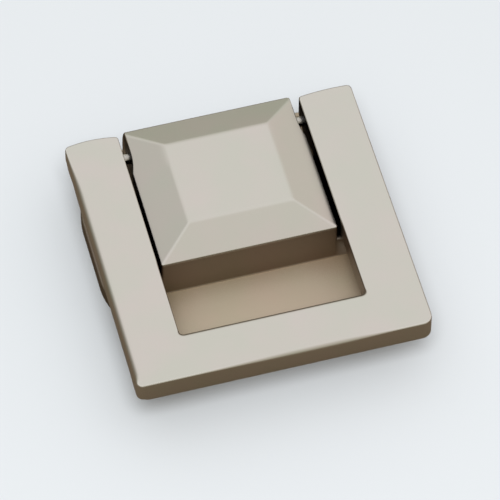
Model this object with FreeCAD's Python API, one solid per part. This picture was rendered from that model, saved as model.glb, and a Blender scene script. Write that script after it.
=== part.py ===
"""Square ring pull handle: a cast base with a faceted block, a U-shaped bail and the rod it swings on.

Millimetres. X runs along the hinge rod, Y from the bar (front) to the hinge (back), Z out of the
drawer front. The origin is on the back face of the plate, midway between the two fixing holes.
Every piece is drawn at rest, with the bail lying down on the ledges of the base.
"""
import FreeCAD, Part
import math
import os

# Back plate
PLATE_WIDTH = 51.1
PLATE_LENGTH = 43.8
PLATE_THICKNESS = 2.6
PLATE_SIDE_FLAT = 17.4
PLATE_SIDE_TAPER = 4.7
PLATE_BEND_RADIUS = 14.0
PLATE_END_BOW = 0.5
PLATE_CORNER_RADIUS = 4.5
PLATE_EDGE_RADIUS = 0.5
PLATE_BEHIND_ARM_ENDS = 5.55

# Pedestal: its top is the ledge that carries the arms
LEDGE_HEIGHT = 7.6
PEDESTAL_CORNER_RADIUS = 1.5
LEDGE_EDGE_RADIUS = 0.4

# Faceted block
BLOCK_TO_ARM_GAP = 0.7
BLOCK_LENGTH = 29.4
BLOCK_BEHIND_ARM_ENDS = 1.05
BLOCK_EDGE_HEIGHT = 11.35
FACET_RISE = 3.1
FACET_RUN_SIDES = 6.5
FACET_RUN_FRONT = 5.7
FACET_RUN_BACK = 6.7
CREASE_RADIUS = 1.2
BLOCK_EDGE_RADIUS = 0.35
BACK_FLARE = 2.0
BACK_FLARE_HEIGHT = 5.7
RELIEF_DEPTH = 0.7
RELIEF_LENGTH = 5.0
RELIEF_CUTTER_RADIUS = 12.0

# Bail
BAIL_WIDTH = 52.2
BAIL_LENGTH = 52.35
BAIL_THICKNESS = 4.7
ARM_WIDTH = 9.65
BAR_WIDTH = 8.9
EYE_RADIUS = 3.05
EYE_TAPER_LENGTH = 6.0
TAPER_BLEND_RADIUS = 4.0
BAIL_CORNER_RADIUS = 1.3
BAIL_INSIDE_CORNER_RADIUS = 1.2
BAIL_OUTSIDE_EDGE_RADIUS = 0.8
BAIL_INSIDE_EDGE_RADIUS = 0.5

# Hinge
ROD_RADIUS = 1.0
PIVOT_BELOW_BAIL_TOP = 3.3
ROD_RUNNING_CLEARANCE = 0.04
ROD_END_RECESS = 0.25
ROD_END_CHAMFER = 0.2
BLIND_EYE_WALL = 3.0
BAIL_REST_GAP = 0.1
LEDGE_TO_EYE_CLEARANCE = 0.5

# Fixing holes, M4, tapped blind from the back
FIXING_SPACING = 32.0
FIXING_HOLE_RADIUS = 1.65
FIXING_HOLE_DEPTH = 5.6
FIXING_HOLE_WALL = 2.55
FIXING_MOUTH_CHAMFER = 0.35
DRILL_POINT_ANGLE = 118.0

# Pocket that the casting die leaves in the back of the block
CORE_WALL = 3.0
CORE_TO_FIXING_HOLE_WALL = 1.6
CORE_DEPTH = 10.2
CORE_CORNER_RADIUS = 2.0
CORE_TO_ROD_WALL = 2.5

# Places that follow from the sizes above
ARM_END_Y = PLATE_LENGTH / 2 - PLATE_BEHIND_ARM_ENDS
BAIL_BOTTOM_Z = LEDGE_HEIGHT + BAIL_REST_GAP
BAIL_TOP_Z = BAIL_BOTTOM_Z + BAIL_THICKNESS
BAR_FRONT_Y = ARM_END_Y - BAIL_LENGTH
BAR_BACK_Y = BAR_FRONT_Y + BAR_WIDTH
ARM_INSIDE_X = BAIL_WIDTH / 2 - ARM_WIDTH
BLOCK_WIDTH = 2 * (ARM_INSIDE_X - BLOCK_TO_ARM_GAP)
PEDESTAL_WIDTH = FIXING_SPACING + 2 * (FIXING_HOLE_RADIUS + FIXING_HOLE_WALL)
PIVOT_Y = ARM_END_Y - EYE_RADIUS
PIVOT_Z = BAIL_TOP_Z - PIVOT_BELOW_BAIL_TOP
TAPER_END_Y = PIVOT_Y - EYE_TAPER_LENGTH
BLOCK_BACK_Y = ARM_END_Y + BLOCK_BEHIND_ARM_ENDS
BLOCK_FRONT_Y = BLOCK_BACK_Y - BLOCK_LENGTH
BLOCK_TOP_Z = BLOCK_EDGE_HEIGHT + FACET_RISE
LEDGE_BACK_Y = TAPER_END_Y - LEDGE_TO_EYE_CLEARANCE

# How far a cutting or trimming solid runs past what it cuts
OVERRUN = 5.0

X_AXIS = FreeCAD.Vector(1, 0, 0)
Z_AXIS = FreeCAD.Vector(0, 0, 1)


def at(x, y, z):
    """A point."""
    return FreeCAD.Vector(x, y, z)


def line(start, end):
    """A straight edge."""
    return Part.LineSegment(start, end).toShape()


def arc(start, middle, end):
    """A circular edge through three points."""
    return Part.Arc(start, middle, end).toShape()


def prism(edges, sweep):
    """A solid swept from the flat outline that the edges close."""
    return Part.Face(Part.Wire(Part.__sortEdges__(edges))).extrude(sweep)


def single_solid(shape):
    """The one solid that a joining or cutting step leaves."""
    solids = shape.removeSplitter().Solids
    assert len(solids) == 1
    return solids[0]


def cylinder(radius, length, start, direction):
    """A round bar that starts at a point and runs along a direction."""
    return Part.makeCylinder(radius, length, start, direction)


def box(low, high):
    """A block between two corners."""
    return Part.makeBox(high.x - low.x, high.y - low.y, high.z - low.z, low)


def chosen_edges(shape, wanted):
    """The edges of a shape that a test on their bounding box picks."""
    return [edge for edge in shape.Edges if wanted(edge.BoundBox)]


def near(a, b, tolerance=1e-4):
    """True where two lengths agree."""
    return abs(a - b) < tolerance


def upright(bounds):
    """True for an edge that runs straight up."""
    return near(bounds.XLength, 0) and near(bounds.YLength, 0)


def plate():
    """The back plate: sides that are flat beside the arms and then bend in, bowed ends and round corners."""
    side_x = PLATE_WIDTH / 2
    end_y = PLATE_LENGTH / 2
    bend_y = PLATE_SIDE_FLAT / 2
    x = side_x - PLATE_SIDE_TAPER
    y = end_y - PLATE_END_BOW
    outline = [
        arc(at(-x, -y, 0), at(0, -end_y, 0), at(x, -y, 0)),
        line(at(x, -y, 0), at(side_x, -bend_y, 0)),
        line(at(side_x, -bend_y, 0), at(side_x, bend_y, 0)),
        line(at(side_x, bend_y, 0), at(x, y, 0)),
        arc(at(x, y, 0), at(0, end_y, 0), at(-x, y, 0)),
        line(at(-x, y, 0), at(-side_x, bend_y, 0)),
        line(at(-side_x, bend_y, 0), at(-side_x, -bend_y, 0)),
        line(at(-side_x, -bend_y, 0), at(-x, -y, 0)),
    ]
    slab = prism(outline, Z_AXIS * PLATE_THICKNESS)
    bends = chosen_edges(slab, lambda b: upright(b) and near(abs(b.XMin), side_x))
    slab = slab.makeFillet(PLATE_BEND_RADIUS, bends)
    corners = chosen_edges(slab, lambda b: upright(b) and near(abs(b.XMin), x))
    slab = slab.makeFillet(PLATE_CORNER_RADIUS, corners)
    rim = chosen_edges(slab, lambda b: near(b.ZMin, PLATE_THICKNESS))
    return slab.makeFillet(PLATE_EDGE_RADIUS, rim)


def pedestal():
    """The step under the block whose top is a ledge for each arm."""
    x = PEDESTAL_WIDTH / 2
    step = box(at(-x, BLOCK_FRONT_Y, 0), at(x, LEDGE_BACK_Y, LEDGE_HEIGHT))
    step = step.makeFillet(PEDESTAL_CORNER_RADIUS, chosen_edges(step, upright))
    top = chosen_edges(step, lambda b: near(b.ZMin, LEDGE_HEIGHT))
    return step.makeFillet(LEDGE_EDGE_RADIUS, top)


def block_side_profile():
    """The block seen from the side: an upright front and a back that swells out as it goes down."""
    swell_y = BLOCK_BACK_Y + BACK_FLARE
    swell_z = BLOCK_EDGE_HEIGHT - BACK_FLARE_HEIGHT
    radius = (BACK_FLARE ** 2 + BACK_FLARE_HEIGHT ** 2) / (2 * BACK_FLARE)
    half_turn = math.asin(BACK_FLARE_HEIGHT / radius) / 2
    middle = at(0, swell_y - radius * (1 - math.cos(half_turn)), swell_z + radius * math.sin(half_turn))
    top = BLOCK_TOP_Z + OVERRUN
    corners = [
        at(0, swell_y, swell_z),
        at(0, swell_y, 0),
        at(0, BLOCK_FRONT_Y, 0),
        at(0, BLOCK_FRONT_Y, top),
        at(0, BLOCK_BACK_Y, top),
        at(0, BLOCK_BACK_Y, BLOCK_EDGE_HEIGHT),
    ]
    edges = [line(a, b) for a, b in zip(corners, corners[1:])]
    edges.append(arc(corners[-1], middle, corners[0]))
    return edges


def relief(side):
    """The metal taken off one side of the block so that the rod shows between it and the arm."""
    face_x = BLOCK_WIDTH / 2 - RELIEF_DEPTH
    outer_x = BLOCK_WIDTH / 2
    start_y = BLOCK_BACK_Y - RELIEF_LENGTH
    half_chord = math.sqrt(RELIEF_CUTTER_RADIUS ** 2 - (RELIEF_CUTTER_RADIUS - RELIEF_DEPTH) ** 2)
    half_turn = math.asin(half_chord / RELIEF_CUTTER_RADIUS) / 2
    middle_x = face_x + RELIEF_CUTTER_RADIUS * (1 - math.cos(half_turn))
    middle_y = start_y - RELIEF_CUTTER_RADIUS * math.sin(half_turn)
    end_y = start_y - half_chord
    far_y = BLOCK_BACK_Y + BACK_FLARE + OVERRUN
    z = PLATE_THICKNESS
    corners = [
        at(side * outer_x, end_y, z),
        at(side * (outer_x + OVERRUN), end_y, z),
        at(side * (outer_x + OVERRUN), far_y, z),
        at(side * face_x, far_y, z),
        at(side * face_x, start_y, z),
    ]
    edges = [line(a, b) for a, b in zip(corners, corners[1:])]
    edges.append(arc(corners[-1], at(side * middle_x, middle_y, z), corners[0]))
    return prism(edges, Z_AXIS * (BLOCK_TOP_Z + OVERRUN))


def facets():
    """A low pyramid with a flat top and soft creases, wider than the block that it trims."""
    drop = OVERRUN

    def ring(height, below):
        spread = below / FACET_RISE
        x = BLOCK_WIDTH / 2 + spread * FACET_RUN_SIDES
        front = BLOCK_FRONT_Y - spread * FACET_RUN_FRONT
        back = BLOCK_BACK_Y + spread * FACET_RUN_BACK
        corners = [at(-x, front, height), at(x, front, height), at(x, back, height), at(-x, back, height)]
        return Part.makePolygon(corners + corners[:1])

    base = ring(BLOCK_EDGE_HEIGHT - drop, drop)
    flat = ring(BLOCK_TOP_Z, -FACET_RISE)
    pyramid = Part.makeLoft([base, flat], True, True)
    creases = chosen_edges(pyramid, lambda b: near(b.ZMax, BLOCK_TOP_Z))
    return pyramid.makeFillet(CREASE_RADIUS, creases)


def is_level_or_sloped(face, point):
    """True where a face leans away from upright at a point."""
    normal = face.normalAt(*face.Surface.parameter(point))
    return abs(normal.z) > 0.5


def rim_edges(solid):
    """The edges where the facets of the block meet its upright walls."""
    rim = []
    for edge in solid.Edges:
        middle = edge.valueAt((edge.FirstParameter + edge.LastParameter) / 2)
        faces = solid.ancestorsOfType(edge, Part.Face)
        sloped = [face for face in faces if is_level_or_sloped(face, middle)]
        if len(faces) == 2 and len(sloped) == 1 and middle.z > BLOCK_EDGE_HEIGHT - CREASE_RADIUS:
            rim.append(edge)
    return rim


def block():
    """The faceted block: an upright column trimmed above by the facets, with its rim softened."""
    x = BLOCK_WIDTH / 2
    profile = block_side_profile()
    for edge in profile:
        edge.translate(X_AXIS * -x)
    column = prism(profile, X_AXIS * BLOCK_WIDTH)
    column = column.cut([relief(-1), relief(1)])
    crown = facets()
    lower = box(at(-x - OVERRUN, BLOCK_FRONT_Y - OVERRUN, 0),
                at(x + OVERRUN, BLOCK_BACK_Y + BACK_FLARE + OVERRUN, BLOCK_EDGE_HEIGHT - OVERRUN))
    solid = single_solid(column.common(lower.fuse(crown)))
    front_corners = chosen_edges(solid, lambda b: upright(b) and near(b.YMin, BLOCK_FRONT_Y))
    return solid.makeFillet(BLOCK_EDGE_RADIUS, rim_edges(solid) + front_corners)


def rod_hole():
    """The running hole for the rod across the block."""
    return cylinder(ROD_RADIUS + ROD_RUNNING_CLEARANCE, BLOCK_WIDTH, at(-BLOCK_WIDTH / 2, PIVOT_Y, PIVOT_Z), X_AXIS)


def fixing_hole(x):
    """One blind hole for a machine screw, with a drill point and a countersunk mouth."""
    point = FIXING_HOLE_RADIUS / math.tan(math.radians(DRILL_POINT_ANGLE / 2))
    mouth = FIXING_HOLE_RADIUS + FIXING_MOUTH_CHAMFER
    profile = [
        at(x, 0, 0),
        at(x + mouth, 0, 0),
        at(x + FIXING_HOLE_RADIUS, 0, FIXING_MOUTH_CHAMFER),
        at(x + FIXING_HOLE_RADIUS, 0, FIXING_HOLE_DEPTH),
        at(x, 0, FIXING_HOLE_DEPTH + point),
    ]
    half_section = Part.Face(Part.makePolygon(profile + profile[:1]))
    return half_section.revolve(profile[0], Z_AXIS, 360)


def core_pocket():
    """The pocket in the back of the block, which leaves walls to its sides, the fixing holes and the rod."""
    beside_hole_x = FIXING_SPACING / 2 - FIXING_HOLE_RADIUS - CORE_TO_FIXING_HOLE_WALL
    x = min(BLOCK_WIDTH / 2 - CORE_WALL, beside_hole_x)
    front = BLOCK_FRONT_Y + CORE_WALL
    back = PIVOT_Y - ROD_RADIUS - CORE_TO_ROD_WALL
    pocket = box(at(-x, front, 0), at(x, back, CORE_DEPTH))
    return pocket.makeFillet(CORE_CORNER_RADIUS, chosen_edges(pocket, lambda b: b.ZMax > 0))


def base():
    """The cast base, with the hole for the rod, the fixing holes and the pocket in its back."""
    casting = plate().fuse([pedestal(), block()])
    holes = [fixing_hole(-FIXING_SPACING / 2), fixing_hole(FIXING_SPACING / 2)]
    return single_solid(casting.cut([rod_hole(), core_pocket()] + holes))


def arm_side_profile():
    """The bail seen from the side: a flat bar that deepens into the round eye at the hinge.

    The underside leaves the bar in a soft bend and runs on along a tangent of the eye.
    """
    run = PIVOT_Y - TAPER_END_Y
    drop = PIVOT_Z - BAIL_BOTTOM_Z
    reach = math.hypot(run, drop)
    towards_taper = math.pi + math.atan2(drop, run)
    tangent = towards_taper + math.acos(EYE_RADIUS / reach)
    lowest = (tangent + 2 * math.pi) / 2
    slope = math.pi * 3 / 2 - tangent
    bend = TAPER_BLEND_RADIUS * math.tan(slope / 2)
    sag = TAPER_BLEND_RADIUS * (1 - math.cos(slope / 2))

    def on_eye(angle):
        return at(0, PIVOT_Y + EYE_RADIUS * math.cos(angle), PIVOT_Z + EYE_RADIUS * math.sin(angle))

    bend_start = at(0, TAPER_END_Y - bend, BAIL_BOTTOM_Z)
    bend_middle = bend_start + at(0, TAPER_BLEND_RADIUS * math.sin(slope / 2), -sag)
    bend_end = at(0, TAPER_END_Y + bend * math.cos(slope), BAIL_BOTTOM_Z - bend * math.sin(slope))
    return [
        line(on_eye(0), at(0, ARM_END_Y, BAIL_TOP_Z)),
        line(at(0, ARM_END_Y, BAIL_TOP_Z), at(0, BAR_FRONT_Y, BAIL_TOP_Z)),
        line(at(0, BAR_FRONT_Y, BAIL_TOP_Z), at(0, BAR_FRONT_Y, BAIL_BOTTOM_Z)),
        line(at(0, BAR_FRONT_Y, BAIL_BOTTOM_Z), bend_start),
        arc(bend_start, bend_middle, bend_end),
        line(bend_end, on_eye(tangent)),
        arc(on_eye(tangent), on_eye(lowest), on_eye(0)),
    ]


def bail_opening():
    """The space between the arms, open at the back."""
    low = at(-ARM_INSIDE_X, BAR_BACK_Y, PIVOT_Z - EYE_RADIUS - OVERRUN)
    high = at(ARM_INSIDE_X, ARM_END_Y + OVERRUN, BAIL_TOP_Z + OVERRUN)
    space = box(low, high)
    front_corners = chosen_edges(space, lambda b: upright(b) and near(b.YMin, BAR_BACK_Y))
    return space.makeFillet(BAIL_INSIDE_CORNER_RADIUS, front_corners)


def eye_holes():
    """The holes that grip the rod: through the right arm, blind in the left one."""
    start_x = -BAIL_WIDTH / 2 + BLIND_EYE_WALL
    return cylinder(ROD_RADIUS, BAIL_WIDTH, at(start_x, PIVOT_Y, PIVOT_Z), X_AXIS)


def on_outside(bounds):
    """True for an edge that lies in the outer side, front or end faces of the bail."""
    x = BAIL_WIDTH / 2
    side = near(bounds.XLength, 0) and near(abs(bounds.XMin), x)
    front = near(bounds.YLength, 0) and near(bounds.YMin, BAR_FRONT_Y)
    end = near(bounds.YLength, 0) and near(bounds.YMin, ARM_END_Y)
    return side or front or end


def bail():
    """The cast U-shaped pull with softened edges."""
    profile = arm_side_profile()
    for edge in profile:
        edge.translate(X_AXIS * (-BAIL_WIDTH / 2))
    solid = prism(profile, X_AXIS * BAIL_WIDTH)
    solid = solid.makeFillet(BAIL_CORNER_RADIUS, chosen_edges(solid, upright))
    solid = single_solid(solid.cut(bail_opening()))
    outside = chosen_edges(solid, lambda b: on_outside(b) and not upright(b))
    solid = solid.makeFillet(BAIL_OUTSIDE_EDGE_RADIUS, outside)
    inside = chosen_edges(solid, lambda b: near(b.XLength, 0) and near(abs(b.XMin), ARM_INSIDE_X) and not upright(b))
    solid = solid.makeFillet(BAIL_INSIDE_EDGE_RADIUS, inside)
    return single_solid(solid.cut(eye_holes()))


def hinge_rod():
    """The rod, chamfered at both ends and a little short of the right arm's face."""
    start_x = -BAIL_WIDTH / 2 + BLIND_EYE_WALL + ROD_END_RECESS
    end_x = BAIL_WIDTH / 2 - ROD_END_RECESS
    rod = cylinder(ROD_RADIUS, end_x - start_x, at(start_x, PIVOT_Y, PIVOT_Z), X_AXIS)
    ends = chosen_edges(rod, lambda b: near(b.XLength, 0))
    return rod.makeChamfer(ROD_END_CHAMFER, ends)


os.makedirs("parts", exist_ok=True)
for name, make in (("base", base), ("bail", bail), ("hinge_rod", hinge_rod)):
    shape = single_solid(make())
    shape.exportStep("parts/" + name + ".step")
    print(name, shape.ShapeType, "valid", shape.isValid(), "solids", len(shape.Solids),
          "volume", round(shape.Volume, 1))
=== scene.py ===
"""Square ring pull handle in satin nickel, lying on its back on a pale studio floor.

Metres. X runs along the hinge rod, Y from the bar to the hinge, Z out of the drawer front. The
origin is on the back face of the plate, midway between the two fixing holes.
"""
import math

import bmesh
import bpy
import numpy as np
from mathutils import Matrix, Vector


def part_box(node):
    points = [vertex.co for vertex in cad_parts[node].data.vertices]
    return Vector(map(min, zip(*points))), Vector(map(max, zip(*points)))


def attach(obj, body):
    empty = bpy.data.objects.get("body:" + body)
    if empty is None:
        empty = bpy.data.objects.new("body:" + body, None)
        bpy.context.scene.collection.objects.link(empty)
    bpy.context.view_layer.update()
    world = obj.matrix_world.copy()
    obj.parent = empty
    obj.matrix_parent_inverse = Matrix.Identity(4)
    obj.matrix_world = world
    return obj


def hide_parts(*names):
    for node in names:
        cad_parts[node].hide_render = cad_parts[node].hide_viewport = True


bl_info = {
    "name": "Square Ring Pull",
    "version": (1, 0, 0),
    "blender": (4, 5, 0),
    "location": "3D View > Sidebar > Ring Pull",
    "description": "Builds a cast ring pull handle with a square hinged bail",
    "category": "Add Mesh",
}

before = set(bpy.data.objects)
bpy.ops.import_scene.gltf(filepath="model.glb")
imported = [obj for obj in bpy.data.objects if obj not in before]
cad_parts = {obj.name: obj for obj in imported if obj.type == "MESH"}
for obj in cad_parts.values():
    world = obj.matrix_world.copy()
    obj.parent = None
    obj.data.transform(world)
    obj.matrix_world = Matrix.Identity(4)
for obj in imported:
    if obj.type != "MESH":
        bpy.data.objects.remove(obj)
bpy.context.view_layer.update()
BASE_LOW, BASE_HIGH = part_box("base")
BAIL_LOW, BAIL_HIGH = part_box("bail")
ROD_LOW, ROD_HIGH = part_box("hinge_rod")

MM = 0.001
PIVOT_Y = (ROD_LOW.y + ROD_HIGH.y) / 2
PIVOT_Z = (ROD_LOW.z + ROD_HIGH.z) / 2
PIVOT = (0, PIVOT_Y, PIVOT_Z)
ROD_RADIUS = (ROD_HIGH.z - ROD_LOW.z) / 2
BAR_FRONT_Y = BAIL_LOW.y
ARM_END_Y = BAIL_HIGH.y
BAIL_TOP_Z = BAIL_HIGH.z
BLOCK_TOP_Z = BASE_HIGH.z
X_AXIS = (1, 0, 0)
Z_AXIS = (0, 0, 1)

# Width of the strip of flat metal that each rolled edge runs out into
GUARD = 0.06 * MM
# Points closer together than this are one point
WELD = 0.001 * MM
# Faces that meet at more than this stay a crisp edge
CRISP_ANGLE = math.radians(32)
# Steps of a quarter-round edge
ROLL_STEPS = 9
# An edge of this radius or less counts as fully convex: the tumbling barrel rubs it smoothest and a highlight
# is painted on it at full strength
FULL_CONVEXITY_RADIUS = 0.35 * MM

# Settings of a mix that lays its second colour over the first, and of one that multiplies by it
BLEND = {"data_type": "RGBA"}
TINT = {"data_type": "RGBA", "blend_type": "MULTIPLY"}
# Sockets of a mix: the share of the second colour, the two colours and the result
SHARE, FIRST, SECOND, MIXED = 0, 6, 7, 2


def linear(hex_colour):
    """The linear RGB of an sRGB hex colour."""
    channels = [int(hex_colour[i:i + 2], 16) / 255 for i in (1, 3, 5)]
    return [c / 12.92 if c <= 0.04045 else ((c + 0.055) / 1.055) ** 2.4 for c in channels]


def settings_of(make, convert, table, **options):
    """Properties for the user, from a table of names with (default, description)."""
    return {key: make(name=key.replace("_", " ").capitalize(), description=about, default=convert(value),
                      **options)
            for key, (value, about) in table.items()}


def lengths(**table):
    """Lengths, with their defaults in millimetres."""
    return settings_of(bpy.props.FloatProperty, lambda size: size * MM, table, min=0, precision=5,
                       subtype="DISTANCE", unit="LENGTH")


def angles(**table):
    """Angles, with their defaults in degrees."""
    return settings_of(bpy.props.FloatProperty, math.radians, table, subtype="ANGLE", unit="ROTATION")


def colours(**table):
    """Colours, with their defaults as sRGB hex values."""
    return settings_of(bpy.props.FloatVectorProperty, linear, table, size=3, min=0, max=1, subtype="COLOR")


class BaseSettings(bpy.types.PropertyGroup):
    """Sizes of the cast base."""

    __annotations__ = lengths(
        plate_width=((BASE_HIGH.x - BASE_LOW.x) / MM, "Across the widest place of the plate"),
        plate_length=((BASE_HIGH.y - BASE_LOW.y) / MM, "From the front to the back of the plate"),
        plate_thickness=(2.6, "Thickness of the back plate"),
        plate_side_flat=(17.4, "Length of each side between its two bends"),
        plate_side_taper=(4.7, "How far each side bends in towards its corners"),
        plate_bend=(14, "Radius in which each side bends"),
        plate_end_bow=(0.5, "How far the front and back bulge"),
        plate_back_trim=(1.2, "Metal dressed off the back of the plate"),
        plate_corner=(4.5, "Radius of the plate's corners"),
        plate_edge=(0.5, "Radius of the plate's front edge"),
        ledge_height=(7.6, "Height of the ledges that carry the arms"),
        pedestal_width=(40.4, "Across both ledges"),
        pedestal_to_pivot=(6.5, "From the back of the ledges to the hinge"),
        pedestal_corner=(1.5, "Radius of the pedestal's upright edges"),
        pedestal_edge=(0.4, "Radius of the ledges' edges"),
        block_width=(31.5, "Across the faceted block"),
        block_length=(29.4, "From the front to the back of the block"),
        block_behind_arms=(1.05, "How far the block reaches behind the arms"),
        block_rim_height=(11.35, "Height of the block's rim"),
        facet_run_sides=(6.5, "Width of the side facets in plan"),
        facet_run_front=(5.7, "Width of the front facet in plan"),
        facet_run_back=(6.7, "Width of the back facet in plan"),
        crease_softness=(0.22, "Metal rounded off the creases of the facets"),
        block_edge=(0.24, "Radius of the block's rim"),
        block_corner=(0.35, "Radius of the block's upright edges"),
        back_flare=(2, "How far the back swells out below the rim"),
        back_flare_height=(5.7, "Height of the swelling at the back"),
        relief_depth=(0.7, "Metal taken off each side next to the eyes"),
        relief_length=(5, "Straight part of each relief"),
        relief_radius=(12, "Radius in which each relief runs out"),
        hole_spacing=(32, "Between the two fixing holes"),
        hole_radius=(1.65, "Tapping radius of the fixing holes"),
        hole_depth=(5.6, "Depth of the fixing holes to the drill point"),
        hole_chamfer=(0.35, "Countersink at the mouth of each hole"),
        core_wall=(3, "Metal left in front of the pocket"),
        core_width=(25.5, "Width of the pocket in the back"),
        core_depth=(10.2, "Depth of the pocket in the back"),
        core_corner=(2, "Radius of the pocket's corners"),
        core_to_rod=(2.5, "Metal left between the pocket and the rod"),
        rod_clearance=(0.04, "Running clearance round the rod"),
    )


class BailSettings(bpy.types.PropertyGroup):
    """Sizes of the bail."""

    __annotations__ = lengths(
        width=((BAIL_HIGH.x - BAIL_LOW.x) / MM, "Across both arms"),
        thickness=(4.7, "Thickness of the bar and the arms"),
        arm_width=(9.65, "Width of each arm"),
        bar_width=(8.9, "Width of the bar"),
        taper_length=(6, "From the pivot to where the arm starts to deepen"),
        taper_blend=(4, "Radius where the arm starts to deepen"),
        left_corner=(1.15, "Radius of the front left corner"),
        right_corner=(1.9, "Radius of the front right corner"),
        end_corner=(0.8, "Radius of the outer corner at each arm's end"),
        inner_end_corner=(0.5, "Radius of the inner corner at each arm's end"),
        inside_corner=(0.9, "Radius of the opening's corners"),
        fine_edge=(0.28, "Radius of the crisp upper edges"),
        bar_inner_edge=(0.85, "Radius of the bar's upper edge at the opening"),
        left_roll=(1.25, "Radius of the upper edge along the left arm"),
        right_roll=(0.35, "Radius of the upper edge along the right arm"),
        bar_roll=(0.95, "Radius of the upper edge in the middle of the bar"),
        lower_arm_roll=(1.6, "Radius of the outer lower edge along the arms"),
        lower_eye_roll=(3.2, "Radius of the outer lower edge round the eyes"),
        lower_bar_roll=(0.5, "Radius of the outer lower edge along the bar"),
        lower_inside_roll=(0.7, "Radius of the inner lower edge"),
        left_crown=(0.55, "How far the left arm's end bulges"),
        left_set_back=(0.2, "Metal dressed off the left arm's end"),
        right_crown=(0.45, "How far the right arm's end bulges"),
        rod_end_wall=(3, "Metal outside the rod in the left arm"),
    )


class RodSettings(bpy.types.PropertyGroup):
    """Sizes of the hinge rod."""

    __annotations__ = lengths(
        radius=(ROD_RADIUS / MM, "Radius of the rod"),
        chamfer=(0.2, "Chamfer at both ends"),
    )


class FinishSettings(bpy.types.PropertyGroup):
    """Colours of the metals."""

    __annotations__ = colours(
        nickel=("#D4D2C8", "Satin nickel plate"),
        nickel_warm=("#D8D1CA", "Where the plate is a little thicker"),
        # Painted highlight: a lighter colour on the convex edges
        nickel_edge=("#E2DFD8", "Edges that the tumbling barrel has brightened"),
        # Painted shade: a browner tint laid on the walls and in the recesses
        recess_tint=("#A89D93", "Tint of the plate deep in the recesses"),
        matt_tint=("#E3D6C5", "Tint of the plate's matt floor"),
        # Painted shade: a darker tint on the matt floor close to the walls
        shelter_tint=("#D5CDBF", "Further tint of it close to the walls"),
        # Painted shade: near-black colour laid in the narrow gaps, where ambient occlusion is low
        residue=("#0C0A08", "Blasting residue in the narrow gaps"),
        rod_steel=("#E2DDD4", "Bright drawn steel"),
    )


class StudioSettings(bpy.types.PropertyGroup):
    """Camera, floor and light."""

    __annotations__ = {
        **angles(
            azimuth=(15.072, "Turn of the camera to the left of the front"),
            elevation=(54.804, "Height of the camera above the floor"),
        ),
        **lengths(
            distance=(760, "From the camera to the middle of the picture"),
            key_size=(600, "Across the round key lamp"),
            key_distance=(1200, "From the key lamp to the handle"),
        ),
        "key_power": bpy.props.FloatProperty(name="Key power", description="Power of the key lamp",
                                             default=7.4, min=0, unit="POWER"),
        **colours(
            floor=("#DBE0E5", "Pale floor"),
            surround=("#706455", "Brown table that upright metal mirrors"),
            overhead=("#F5F5F5", "Studio overhead and behind the handle"),
            horizon=("#C6C9BD", "Studio low down behind the handle"),
            left_side=("#979288", "Darkening of the studio to the left"),
            right_side=("#E5DDD9", "Colour of the studio to the right"),
            camera_side=("#E0DCD4", "Darkening of the studio behind the camera"),
        ),
    }


def roll(steps=ROLL_STEPS):
    """(inset, drop) of a quarter round of radius 1, from the flat on top to the upright wall.

    At the angle t the inset is 1 - sin t and the drop is 1 - cos t.
    """
    angle = np.linspace(0, math.pi / 2, steps)
    return 1 - np.sin(angle), 1 - np.cos(angle)


def smooth_step(low, high, value):
    """0 below low, 1 above high and t * t * (3 - 2 t) between."""
    share = np.clip((np.asarray(value) - low) / (high - low), 0, 1)
    return share * share * (3 - 2 * share)


def fade(value, place, start, stop):
    """The smooth step from start to stop millimetres past a place."""
    return smooth_step(place + start * MM, place + stop * MM, value)


def loop_normals(loop):
    """Outward normals of a closed anticlockwise plan outline: its tangent, a quarter turn clockwise."""
    tangent = np.roll(loop, -1, axis=0) - np.roll(loop, 1, axis=0)
    normal = np.stack([tangent[:, 1], -tangent[:, 0]], axis=1)
    return normal / np.linalg.norm(normal, axis=1, keepdims=True)


def grid_faces(rows, columns, closed):
    """Quads of a grid of points. In a closed one the last column joins the first."""
    row = np.arange(rows - 1)[:, None] * columns
    here = np.arange(columns if closed else columns - 1)[None, :]
    following = (here + 1) % columns
    return np.stack([row + here, row + following, row + columns + following, row + columns + here],
                    axis=-1).reshape(-1, 4)


def lofted(rings):
    """(points, faces) of a closed shell through an array of rings, with a flat face at either end."""
    rows, around = rings.shape[:2]
    faces = grid_faces(rows, around, closed=True).tolist()
    faces.append(list(range(around - 1, -1, -1)))
    faces.append(list(range((rows - 1) * around, rows * around)))
    return rings.reshape(-1, 3), faces


def new_object(name, points, faces):
    """An object in the scene with its place in its mesh, and with points that coincide joined."""
    mesh = bpy.data.meshes.new(name)
    mesh.from_pydata(np.asarray(points).tolist(), [], faces)
    shell = bmesh.new()
    shell.from_mesh(mesh)
    bmesh.ops.remove_doubles(shell, verts=shell.verts, dist=WELD)
    shell.to_mesh(mesh)
    shell.free()
    made = bpy.data.objects.new(name, mesh)
    bpy.context.scene.collection.objects.link(made)
    return made


def combine(target, tools, operation):
    """Joins tools to the target or cuts them out of it, and removes them."""
    for tool in tools:
        step = target.modifiers.new(tool.name, "BOOLEAN")
        step.operation = operation
        step.solver = "EXACT"
        step.object = tool
    evaluated = target.evaluated_get(bpy.context.evaluated_depsgraph_get())
    mesh = bpy.data.meshes.new_from_object(evaluated)
    target.modifiers.clear()
    target.data = mesh
    for tool in tools:
        bpy.data.objects.remove(tool)


def per_point(mesh, name):
    """The places or the normals of a mesh's points, one to a row."""
    values = np.empty(len(mesh.vertices) * 3)
    mesh.vertices.foreach_get(name, values)
    return values.reshape(-1, 3)


def store_share(mesh, name, share):
    """Stores a share from 0 to 1 at each point, which a material reads by its name."""
    attribute = mesh.attributes.new(name, "FLOAT", "POINT")
    attribute.data.foreach_set("value", share.astype(np.float32))


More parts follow.
